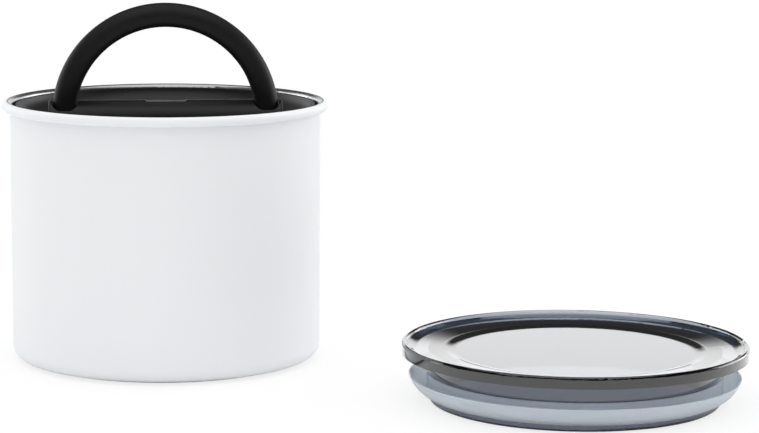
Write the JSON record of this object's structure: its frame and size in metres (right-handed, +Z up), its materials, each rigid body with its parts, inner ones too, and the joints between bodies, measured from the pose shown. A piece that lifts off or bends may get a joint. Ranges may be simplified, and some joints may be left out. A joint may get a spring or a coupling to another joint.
{
  "type": "coffee canister with valve",
  "caption": "Round steel canister with a sliding inner lid, whose arched handle works a one-way valve, and a clear outer lid beside it",
  "frame": {"origin": "centre of the canister's foot ring, on the surface it stands on", "axes": "+Z up the canister's axis; +X along the handle's hinge, to the right as the picture shows it; +Y to the back, where the handle folds"},
  "size_m": [0.274, 0.22, 0.1394],
  "materials": {
    "white_coat": "matte powder coat",
    "bare_steel": "brushed",
    "black_plastic": "satin",
    "black_rubber": "matte",
    "hardware_steel": "plain",
    "smoke_clear": "clear smoke tint, polished",
    "clear_silicone": "translucent"
  },
  "bodies": {
    "canister": {"canister_shell": "white_coat", "base_pan": "bare_steel"},
    "inner_lid": {"lid_cover": "black_plastic", "lid_base": "black_plastic", "lid_wiper": "black_rubber", "cover_screws": "hardware_steel", "valve_cage": "black_plastic", "hinge_pin_left": "hardware_steel", "hinge_pin_right": "hardware_steel", "valve_spring": "hardware_steel"},
    "handle": {"bail_handle": "black_plastic"},
    "valve": {"valve_poppet": "black_plastic", "valve_seal": "black_rubber", "valve_crossbar": "black_plastic", "stem_clip": "hardware_steel"},
    "clear_lid": {"outer_lid": "smoke_clear", "outer_lid_gasket": "clear_silicone"}
  },
  "joints": [
    {"name": "inner_lid_slide", "type": "slide", "parent": "canister", "child": "inner_lid", "axis": [0, 0, 1], "range_m": [-0.063, 0.04]},
    {"name": "handle_hinge", "type": "hinge", "parent": "inner_lid", "child": "handle", "pos_m": [0, 0, 0.0936], "axis": [-1, 0, 0], "range_deg": [0, 90]},
    {"name": "valve_slide", "type": "slide", "parent": "inner_lid", "child": "valve", "axis": [0, 0, 1], "range_m": [0, 0.0012], "deforming": ["valve_spring"]},
    {"name": "outer_lid_lift", "type": "slide", "parent": "canister", "child": "clear_lid", "axis": [0, 0, 1], "range_m": [0, 0.12]}
  ],
  "couplings": [
    {"joint": "valve_slide", "follows": "handle_hinge", "m_per_rad": 0.00076393}
  ]
}
